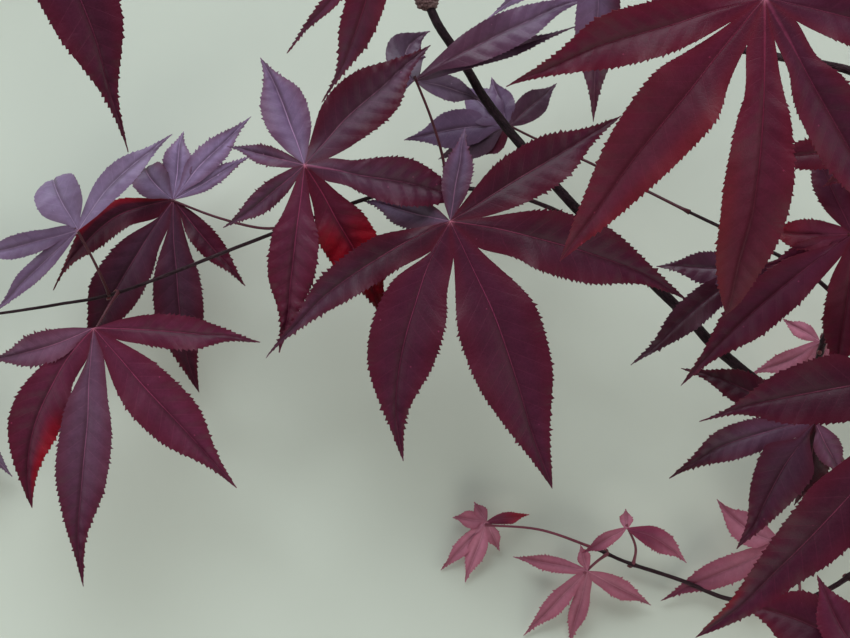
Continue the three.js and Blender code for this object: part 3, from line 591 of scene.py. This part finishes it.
# Every leaf's make, in millimetres. Places along a lobe are shares of its reach, and spread is the share of the way
# from the midrib to the margin. fades says from where to where something comes in or goes out, along or across a lobe
make = dict(webShare=0.15, footRows=6, thickness=0.25, ribDepth=0.35, groove=0.16, quilt=0.45, fullQuiltWidth=14,
            wave=0.6, waveLength=17, fewestWaves=1.5, roll=0.16, curl=0.03, sway=0.012, belly=0.93, bellyPower=0.95,
            tail=0.55, fold=0.2, free=0.25, corner=0.16, bowStart=0.45, halfTones=(0.9, 1.1), seatHighlightTone="rose",
            seatHighlightStrength=0.6, tintSoft=0.1)
sideRibs = dict(gap=4.6, slant=0.85, leftAhead=0.4, smallest=0.5, fullReach=110)
saw = dict(gap=1.35, depth=0.42, jitter=0.22, depths=(0.3, 1.2), profile=((0, -0.25), (0.5, 0.35), (0.9, 1)),
           fewest=6, bigEvery=3, bigger=1.5, gapSmallest=0.45, gapFullReach=80, depthSmallest=0.3, depthFullReach=45)
fades = dict(tail=(0.58, 0.92), neck=(0.12, 0.4), teethIn=(0.17, 0.4), teethOut=(0.82, 1), hook=(0.6, 1),
             roll=(0.2, 0.8), curl=(0.55, 1), grooveIn=(0.02, 0.15), grooveOut=(0.75, 1), tone=(0.25, 0.95),
             seatHighlightTone=(0, 0.03), ownRows=(0.3, 1), tooth=(0.8, 1))
columnsOf = dict(largeReach=36, large=(0, 0.05, 0.28, 0.52, 0.76, 0.93, 1), small=(0, 0.07, 0.4, 0.8, 1))
stalkMake = dict(radius=0.44, inset=1.2, sunk=0.35, narrowing=0.25, steps=28, sides=10, foot=(0.7, 1.2),
                 seat=(0.35, 1.5))
fanMake = dict(width=0.27, bulge=0.03, turns={5: (88, 44, 0, -44, -88), 7: (126, 86, 43, 0, -43, -86, -126)},
               parts={5: (0.55, 0.88, 1, 0.88, 0.55), 7: (0.4, 0.72, 0.93, 1, 0.93, 0.72, 0.4)})


def fade(name, place):
    return smoothstep(*fades[name], place)


def fanLobes(heading, reach, drop, look, count):
    return [(heading + turn, reach * part, reach * part * fanMake["width"], -drop * part, look, 0,
             reach * fanMake["bulge"])
            for turn, part in zip(fanMake["turns"][count], fanMake["parts"][count])]


class Lobe:
    def __init__(self, values, index, heading, reach, width, rise, look, bend=0, bulge=0):
        self.seat = Vector(values["seat"])
        self.heading, self.reach, self.width = heading, reach, width
        self.rise, self.bend, self.bulge = rise, bend, bulge
        self.foot, self.tip = Vector(tones[look.split()[0]]), Vector(tones[look.split()[-1]])
        self.belly, self.tail, self.neck = values.get("shape", {}).get(index, (make["belly"], make["tail"], 0))
        self.bow = values.get("bow", {}).get(index, 0)
        self.tintsAndPaintedLight = [(side, start, end, inner, Vector(tones[tone]))
                     for lobe, side, start, end, inner, tone in values.get("tintsAndPaintedLight", ()) if lobe == index]
        self.turn = math.radians(heading)
        self.ahead = towards(self.turn)
        self.aside = Vector((-math.sin(self.turn), math.cos(self.turn), 0))

    # The half width at a share of the reach, as a share of the greatest: a belly that narrows to a drawn-out tip
    def fullness(self, share):
        belly = math.sin(math.pi * share ** self.belly) ** make["bellyPower"] if share < 1 else 0
        drawnOut = 1 - self.tail * fade("tail", share)
        return belly * drawnOut * (1 - self.neck * (1 - fade("neck", share)))

    # The midrib; a bowed lobe rolls downwards from bowStart on, by that many radians at its tip
    def spine(self, share):
        hump = 4 * share * (1 - share)
        out, drop, start = share, 0, make["bowStart"]
        if self.bow and share > start:
            angle = self.bow * (share - start) / (1 - start)
            out = start + (1 - start) * math.sin(angle) / self.bow
            drop = (1 - start) * (1 - math.cos(angle)) / self.bow
        level = self.ahead * (self.reach * out) + self.aside * (self.bend * hump)
        return self.seat + level + Vector((0, 0, self.rise * share + self.bulge * hump - self.reach * drop))

    # The way from the midrib to the left margin, and the way up, at a share of the reach
    def side(self, share):
        slant = self.turn + math.atan2(4 * self.bend * (1 - 2 * share), self.reach)
        return Vector((-math.sin(slant), math.cos(slant), 0))

    def up(self, share):
        angle = self.bow * max(0, share - make["bowStart"]) / (1 - make["bowStart"])
        return self.ahead * math.sin(angle) + Vector((0, 0, math.cos(angle)))

    def edge(self, share, side):
        return self.spine(share) + self.side(share) * (side * self.width / 2 * self.fullness(share))


# Where two lobes part
def webCorner(left, right):
    turn = math.radians((left.heading + right.heading) / 2)
    out = make["webShare"] * min(left.reach, right.reach)
    height = (left.spine(make["webShare"]).z + right.spine(make["webShare"]).z) / 2
    return Vector((left.seat.x + math.cos(turn) * out, left.seat.y + math.sin(turn) * out, height))


# The shares of the reach at which the rows of one margin lie, and how far each stands out: teeth that lean forward
def toothRows(chance, reach, count, teeth):
    web, footRows, jitter = make["webShare"], make["footRows"], saw["jitter"]
    starts = [web + (1 - web) * (i + (chance.uniform(-jitter, jitter) if i else 0)) / count for i in range(count)]
    starts.append(1)
    spots = [web * row / footRows for row in range(footRows)]
    heights = [0] * footRows
    size = min(1, reach / saw["depthFullReach"] + saw["depthSmallest"])
    for place, (start, end) in enumerate(zip(starts, starts[1:])):
        depth = teeth * saw["depth"] * chance.uniform(*saw["depths"]) * size
        depth *= saw["bigger"] if place % saw["bigEvery"] == 0 else 1
        depth *= fade("teethIn", start) * (1 - fade("teethOut", start))
        for share, height in saw["profile"]:
            spots.append(start + (end - start) * share)
            heights.append(depth * height)
    return spots + [1], heights + [0]


def growLobe(bm, chance, lobe, corners, values, columns):
    web, footRows = make["webShare"], make["footRows"]
    fold = values.get("fold", make["fold"])
    quilt = values.get("quilt", make["quilt"]) * min(1, lobe.width / make["fullQuiltWidth"])
    toothGap = saw["gap"] * min(1, saw["gapSmallest"] + lobe.reach / saw["gapFullReach"])
    count = max(saw["fewest"], round(lobe.reach * (1 - web) / toothGap))
    margins = {side: toothRows(chance, lobe.reach, count, values.get("teeth", 1)) for side in (-1, 1)}
    rows = len(margins[1][0]) - 1
    reachOut = {side: corners[side] - lobe.edge(web, side) for side in (-1, 1)}
    roll = chance.uniform(-1, 1) * make["roll"]
    curl = chance.uniform(0, make["curl"]) * lobe.reach
    phases = {side: chance.uniform(0, math.tau) for side in (-1, 1)}
    waves = max(make["fewestWaves"], lobe.reach / make["waveLength"])
    ribGap = sideRibs["gap"] * min(1, sideRibs["smallest"] + lobe.reach / sideRibs["fullReach"])
    firstRib = chance.uniform(0, 1)
    halfTones = {side: chance.uniform(*make["halfTones"]) for side in (-1, 1)}
    sway, hook = (chance.uniform(-1, 1) * make["sway"] * lobe.reach for _ in range(2))
    seatHighlightTone, soft = Vector(tones[make["seatHighlightTone"]]), make["tintSoft"]
    leafPlace = bm.verts.layers.float_vector["leafPlace"]
    leafTint = bm.verts.layers.float_vector["leafTint"]
    leafShare = bm.verts.layers.float["leafShare"]
    half = len(columns) - 1
    for vert in bmesh.ops.create_grid(bm, x_segments=rows, y_segments=2 * half, size=0.5)["verts"]:
        row = round((vert.co.x + 0.5) * rows)
        column = round((vert.co.y + 0.5) * 2 * half) - half
        side = -1 if column < 0 else 1
        spread = columns[abs(column)]
        spots, heights = margins[side]
        middle = (margins[-1][0][row] + margins[1][0][row]) / 2
        share = middle + (spots[row] - middle) * fade("ownRows", spread)
        spine = lobe.spine(share)
        free = smoothstep(web, web + make["free"], share)
        halfWidth = lobe.width / 2 * lobe.fullness(share)
        if row < footRows:
            point = spine.lerp(lobe.seat.lerp(corners[side], row / footRows), spread)
            lateral = side * spread * halfWidth
        else:
            lateral = side * (halfWidth * spread + heights[row] * fade("tooth", spread))
            joined = 1 - smoothstep(web, web + make["corner"], share)
            drift = sway * math.sin(math.tau * share)
            drift += hook * math.sin(math.pi * fade("hook", share))
            point = spine + lobe.side(share) * (lateral + drift * free) + reachOut[side] * (joined * spread)
        ribNumber = (share * lobe.reach - sideRibs["slant"] * abs(lateral)) / ribGap + firstRib
        ribNumber += sideRibs["leftAhead"] if side > 0 else 0
        lift = fold * abs(lateral) + roll * lateral * fade("roll", share)
        lift += make["wave"] * spread ** 2 * math.sin(math.tau * waves * share + phases[side]) * (1 - share ** 4)
        lift += quilt * (0.5 - 0.5 * math.cos(math.tau * ribNumber)) * 4 * spread * (1 - spread) * (1 - share ** 6)
        lift = lift * free + curl * fade("curl", share)
        if column == 0:
            groove = fade("grooveIn", share) * (1 - fade("grooveOut", share))
            lift -= make["groove"] * groove
        tint = lobe.foot.lerp(lobe.tip, fade("tone", share)) * halfTones[side]
        # Margin tints, partly painted light: scarlet is painted backlight shining through the blade, and a darker half
        # is painted shade where noted at the leaf
        for tintSide, start, end, inner, tone in lobe.tintsAndPaintedLight:
            if tintSide == side:
                window = smoothstep(start - soft, start + soft, share)
                window *= 1 - smoothstep(end - soft, end + soft, share)
                tint = tint.lerp(tone, window * smoothstep(inner, 1, spread))
        # Painted highlight: a pale rose spot where the lobes meet at the seat
        tint = tint.lerp(seatHighlightTone, make["seatHighlightStrength"] * (1 - fade("seatHighlightTone", share)))
        vert[leafPlace] = (lateral, ribNumber, spread)
        vert[leafShare] = share
        vert[leafTint] = tint
        vert.co = metres(point + lobe.up(share) * lift)


def growLeaf(name, values):
    chance = random.Random(name)
    bm = newMesh()
    rows = values.get("lobes") or fanLobes(*values["fan"])
    lobes = [Lobe(values, index, *row) for index, row in enumerate(rows)]
    web = make["webShare"]
    corners = [lobes[0].edge(web, 1)]
    corners += [webCorner(left, right) for left, right in zip(lobes, lobes[1:])]
    corners.append(lobes[-1].edge(web, -1))
    longest = max(lobe.reach for lobe in lobes)
    columns = columnsOf["large" if longest > columnsOf["largeReach"] else "small"]
    for place, lobe in enumerate(lobes):
        growLobe(bm, chance, lobe, {1: corners[place], -1: corners[place + 1]}, values, columns)
    bmesh.ops.remove_doubles(bm, verts=bm.verts[:], dist=joinedWithin["leaf"])
    # The underside, with its keel along each midrib, and the edge between the two sides
    bm.normal_update()
    leafPlace = bm.verts.layers.float_vector["leafPlace"]
    top = bm.faces[:]
    below = bmesh.ops.extrude_face_region(bm, geom=top, use_keep_orig=True)["geom"]
    for face in bm.faces:
        face.material_index = 2
    for face in top:
        face.material_index = 0
    for part in below:
        if isinstance(part, bmesh.types.BMFace):
            part.material_index = 1
        elif isinstance(part, bmesh.types.BMVert):
            keel = make["ribDepth"] * (part[leafPlace].z < columns[1] / 2)
            part.co -= part.normal * (make["thickness"] + keel) / 1000
    bmesh.ops.reverse_faces(bm, faces=bm.faces[:])
    turn = math.radians((lobes[0].heading + lobes[-1].heading) / 2)
    root = lobes[0].seat + towards(turn, stalkMake["inset"], -stalkMake["sunk"])

    def radiusAt(share, turn, length):
        (footGain, footFade), (seatGain, seatFade) = stalkMake["foot"], stalkMake["seat"]
        flare = footGain * math.exp(-share * length / footFade)
        flare += seatGain * math.exp(-(1 - share) * length / seatFade)
        return stalkMake["radius"] * (1 - stalkMake["narrowing"] * share) * (1 + flare)

    wrapTube(bm, [*values["stalk"], root], stalkMake["steps"], stalkMake["sides"], radiusAt, 3)
    kind = values["kind"]
    newPiece(name + "_blades", bm, leafMaterials[kind], name)


for name, values in leaves.items():
    growLeaf(name, values)
print("leaves grown")

# Limbs with their bark, a ridge and a bud at each joint. joint and foot are swellings: how much of the radius they
# add, and how far they reach. Roughness has its share too, and how fine it is round the limb and along it
limbMake = dict(waySteps=400, jointWithin=1.5, jointSpan=(0.02, 0.995), joint=(0.34, 0.9), foot=(0.5, 2.2),
                rough=(0.09, 1.3, 0.22), fineRough=(0.05, 2.6, 1.1), noiseStart=3.7)
cutEnd = dict(x=161, rings=(0.00025, 0.00045, 0.0004), ringStep=0.00004)
budMake = dict(length=1.7, segments=(10, 8), width=0.42, taper=0.55, stretch=0.6, raised=0.8, sunk=0.9, forward=1.3)
knobMake = dict(size=(3.3, 2.7, 2.8), subdivisions=5, scale=0.05, scaleRows=17, lumps=(0.16, 1.6),
                fineLumps=(0.07, 5))


def nearestShare(points, place):
    spot = min(range(len(points)), key=lambda i: (points[i] - Vector(place)).length)
    return spot / (len(points) - 1), (points[spot] - Vector(place)).length


def growBud(bm, foot, ahead, material):
    size = budMake["length"]
    turn = ahead.to_track_quat("Z", "Y").to_matrix().to_4x4()
    around, upward = budMake["segments"]
    made = bmesh.ops.create_uvsphere(bm, u_segments=around, v_segments=upward, radius=1)["verts"]
    for vert in made:
        width = size * budMake["width"] * (1 - budMake["taper"] * smoothstep(-0.2, 1, vert.co.z))
        height = (vert.co.z + budMake["raised"]) * size * budMake["stretch"]
        vert.co = metres(Vector(foot) + (turn @ Vector((vert.co.x * width, vert.co.y * width, height))))
    for face in {face for vert in made for face in vert.link_faces}:
        face.material_index = material


def growKnob(bm, end, material):
    made = bmesh.ops.create_icosphere(bm, subdivisions=knobMake["subdivisions"], radius=1)["verts"]
    barkPlace = bm.verts.layers.float_vector["barkPlace"]
    (lump, lumpGrain), (fineLump, fineGrain) = knobMake["lumps"], knobMake["fineLumps"]
    for vert in made:
        shape = vert.co.copy()
        scales = knobMake["scale"] * math.sin(shape.y * knobMake["scaleRows"] + 2 * noise.noise(shape * 2))
        lumps = lump * noise.noise(shape * lumpGrain) + fineLump * noise.noise(shape * fineGrain)
        vert[barkPlace] = shape * 2
        vert.co = metres(Vector(end) + shape * Vector(knobMake["size"]) * (1 + lumps + scales))
    for face in {face for vert in made for face in vert.link_faces}:
        face.material_index = material


def growLimb(name, values):
    bm = newMesh()
    isStem = name == "main_stem"
    points = evenWay(values["way"], limbMake["waySteps"])[0]
    joints, buds = [], []
    starts = [leaf["stalk"][:2] for leaf in leaves.values()]
    starts += [limb["way"][:2] for limb in limbs.values() if limb is not values]
    firstJoint, lastJoint = limbMake["jointSpan"]
    for place, onward in starts:
        share, gap = nearestShare(points, place)
        if gap < limbMake["jointWithin"] and firstJoint < share < lastJoint:
            joints.append(share)
            buds.append((share, Vector(onward) - Vector(place)))
    noiseStart = sum(map(ord, name)) * limbMake["noiseStart"]
    first, last = values["radii"]

    def radiusAt(share, turn, length):
        radius = first + (last - first) * share
        distance = share * length
        (jointGain, jointReach), (footGain, footReach) = limbMake["joint"], limbMake["foot"]
        ridge = sum(jointGain * math.exp(-((share - joint) * length / jointReach) ** 2) for joint in joints)
        ridge += footGain * math.exp(-distance / footReach) * (not isStem)
        for gain, around, onward in (limbMake["rough"], limbMake["fineRough"]):
            ridge += gain * noise.noise(towards(turn, around, distance * onward + noiseStart))
        return radius * (1 + ridge)

    wrapTube(bm, values["way"], values["steps"], values["sides"], radiusAt, 0)
    if isStem:
        cut = metres((cutEnd["x"], 0, 0)).x
        geometry = bm.verts[:] + bm.edges[:] + bm.faces[:]
        bmesh.ops.bisect_plane(bm, geom=geometry, plane_co=(cut, 0, 0), plane_no=(1, 0, 0), clear_outer=True)
        rim = [edge for edge in bm.edges if edge.is_boundary]
        face = bmesh.ops.contextual_create(bm, geom=rim)["faces"][0]
        face.material_index = 3
        for thickness in cutEnd["rings"]:
            bmesh.ops.inset_region(bm, faces=[face], thickness=thickness, depth=-cutEnd["ringStep"])
        bmesh.ops.recalc_face_normals(bm, faces=bm.faces[:])
        growKnob(bm, values["way"][-1], 2)
    for share, away in buds:
        spot = min(max(round(share * limbMake["waySteps"]), 1), limbMake["waySteps"] - 1)
        ahead = (points[spot + 1] - points[spot - 1]).normalized()
        out = (away - ahead * away.dot(ahead)).normalized()
        radius = first + (last - first) * share
        foot = points[spot] - out * radius * budMake["sunk"]
        growBud(bm, foot, (ahead * budMake["forward"] - out).normalized(), 1)
    bark = "stem" if isStem else "twig"
    skins = [barkMaterials[bark], budScale, barkMaterials["knob"], cutWood]
    newPiece(name + "_wood", bm, skins, name)


for name, values in limbs.items():
    growLimb(name, values)
print("limbs grown")

# Floor
ground = dict(size=3, colour=(0.60, 0.64, 0.54, 1), roughness=0.9, gloss=0.1)
floorMesh = bmesh.new()
bmesh.ops.create_grid(floorMesh, x_segments=2, y_segments=2, size=ground["size"])
floorData = bpy.data.meshes.new("floor")
floorMesh.to_mesh(floorData)
floorMesh.free()
floor = bpy.data.objects.new("floor", floorData)
bpy.context.scene.collection.objects.link(floor)
floorMaterial, _, floorShader = newMaterial("paleFloor", ground["roughness"], ground["gloss"])
floorShader.inputs["Base Color"].default_value = ground["colour"]
floorData.materials.append(floorMaterial)

# Lights: a large cool one low at the back, weaker ones round the sides, little from above
lights = {
    "skyBack": dict(place=(-0.25, 1.7, 1.3), size=1.9, power=54, colour=(0.86, 0.93, 1)),
    "leftSide": dict(place=(-2.0, 0.1, 1.0), size=1.6, power=13, colour=(0.95, 0.97, 1)),
    "rightSide": dict(place=(1.7, 0.0, 0.8), size=1.4, power=11, colour=(1, 0.97, 0.93)),
    "front": dict(place=(0.2, -1.6, 0.9), size=1.4, power=11, colour=(1, 0.98, 0.95)),
}
room = dict(colour=(0.80, 0.86, 0.90, 1), strength=0.13)
for name, values in lights.items():
    lamp = bpy.data.lights.new(name, "AREA")
    lamp.shape = "DISK"
    lamp.size = values["size"]
    lamp.energy = values["power"]
    lamp.color = values["colour"]
    light = bpy.data.objects.new(name, lamp)
    light.location = values["place"]
    light.rotation_euler = (-Vector(values["place"])).to_track_quat("-Z", "Y").to_euler()
    bpy.context.scene.collection.objects.link(light)
world = bpy.data.worlds.new("softRoom")
world.use_nodes = True
background = world.node_tree.nodes["Background"].inputs
background["Color"].default_value = room["colour"]
background["Strength"].default_value = room["strength"]
bpy.context.scene.world = world
print("floor and lights placed")
